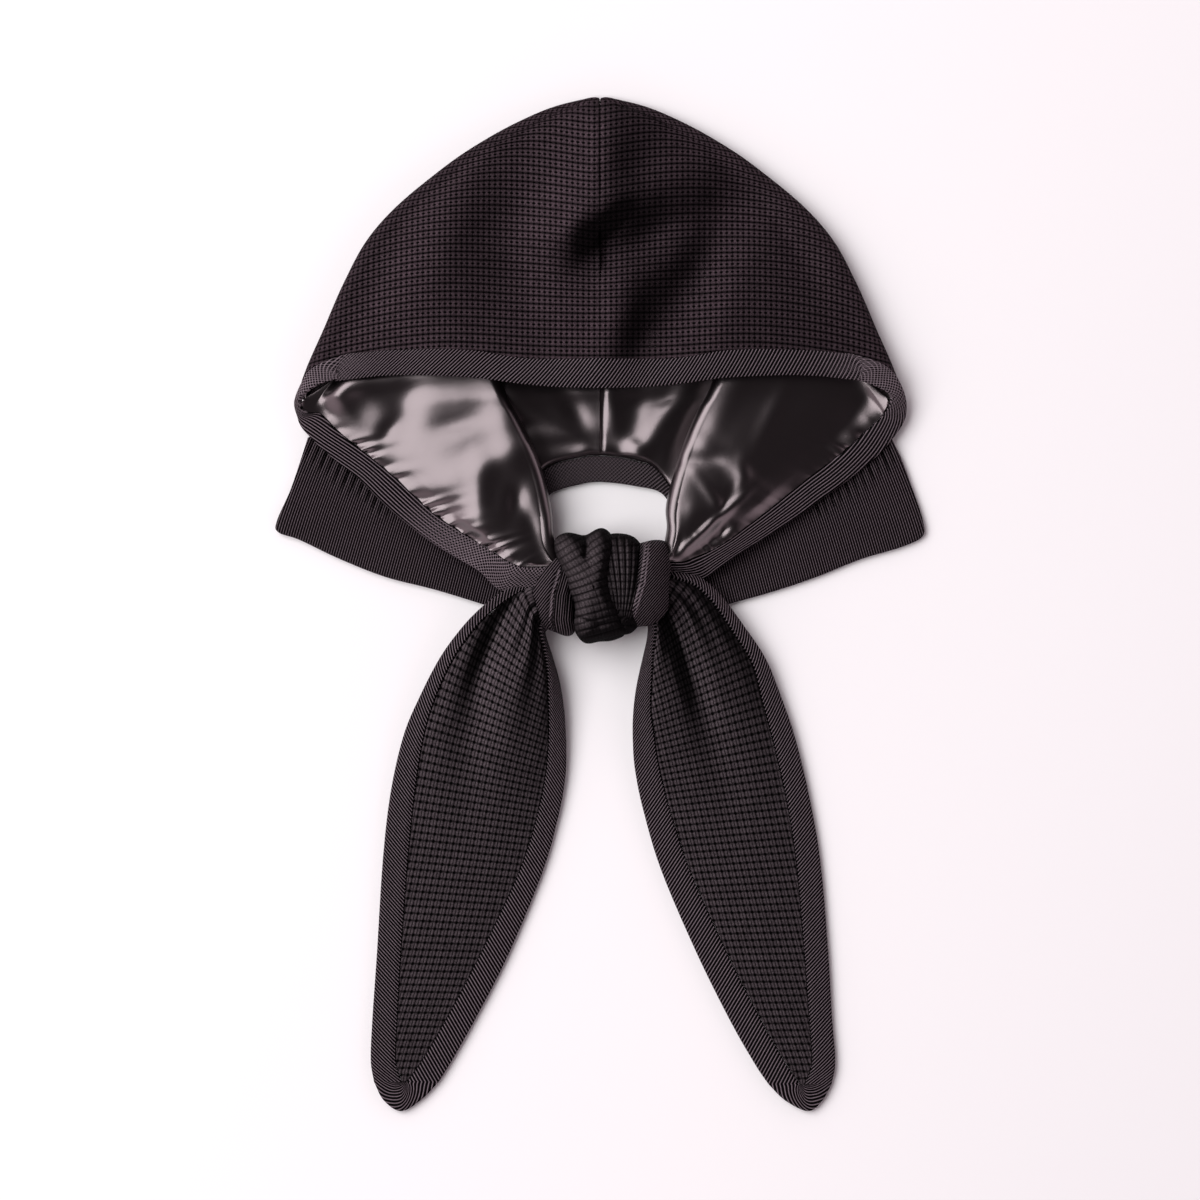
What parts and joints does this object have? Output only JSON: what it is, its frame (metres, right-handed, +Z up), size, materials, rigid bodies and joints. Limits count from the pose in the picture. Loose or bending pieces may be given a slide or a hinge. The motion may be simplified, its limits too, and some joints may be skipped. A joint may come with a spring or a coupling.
{
  "type": "hooded scarf with knotted ties",
  "caption": "Soft lined hood lying flat on its back, with bound face and neck openings, ribbed neck flaps and leaf-shaped ties knotted in front.",
  "frame": {"origin": "on the floor under the middle of the whole outline, between the knot and the neck hole", "axes": "+X to the wearer's left as it lies, +Y from the tie ends to the point of the hood, +Z up off the floor"},
  "size_m": [0.3244, 0.5072, 0.042],
  "materials": {
    "waffle_knit": "matt black-brown waffle knit, small square cells",
    "satin_lining": "smooth glossy black satin",
    "twill_binding": "matt black twill binding with diagonal ribs",
    "ribbed_knit": "matt black fine ribbed knit"
  },
  "bodies": {
    "root": {"hood_panel_left": "waffle_knit", "hood_panel_right": "waffle_knit", "lining_left": "satin_lining", "lining_right": "satin_lining", "cheek_left": "satin_lining", "cheek_right": "satin_lining", "neck_flap_left": "ribbed_knit", "neck_flap_right": "ribbed_knit", "face_binding": "twill_binding", "nape_binding": "twill_binding", "knot_wrap": "waffle_knit", "knot_edge_left": "twill_binding", "knot_pleats_right": "waffle_knit", "knot_edge_right": "twill_binding", "tail_left": "waffle_knit", "tail_right": "waffle_knit", "tail_binding_left": "twill_binding", "tail_binding_right": "twill_binding"}
  },
  "joints": []
}
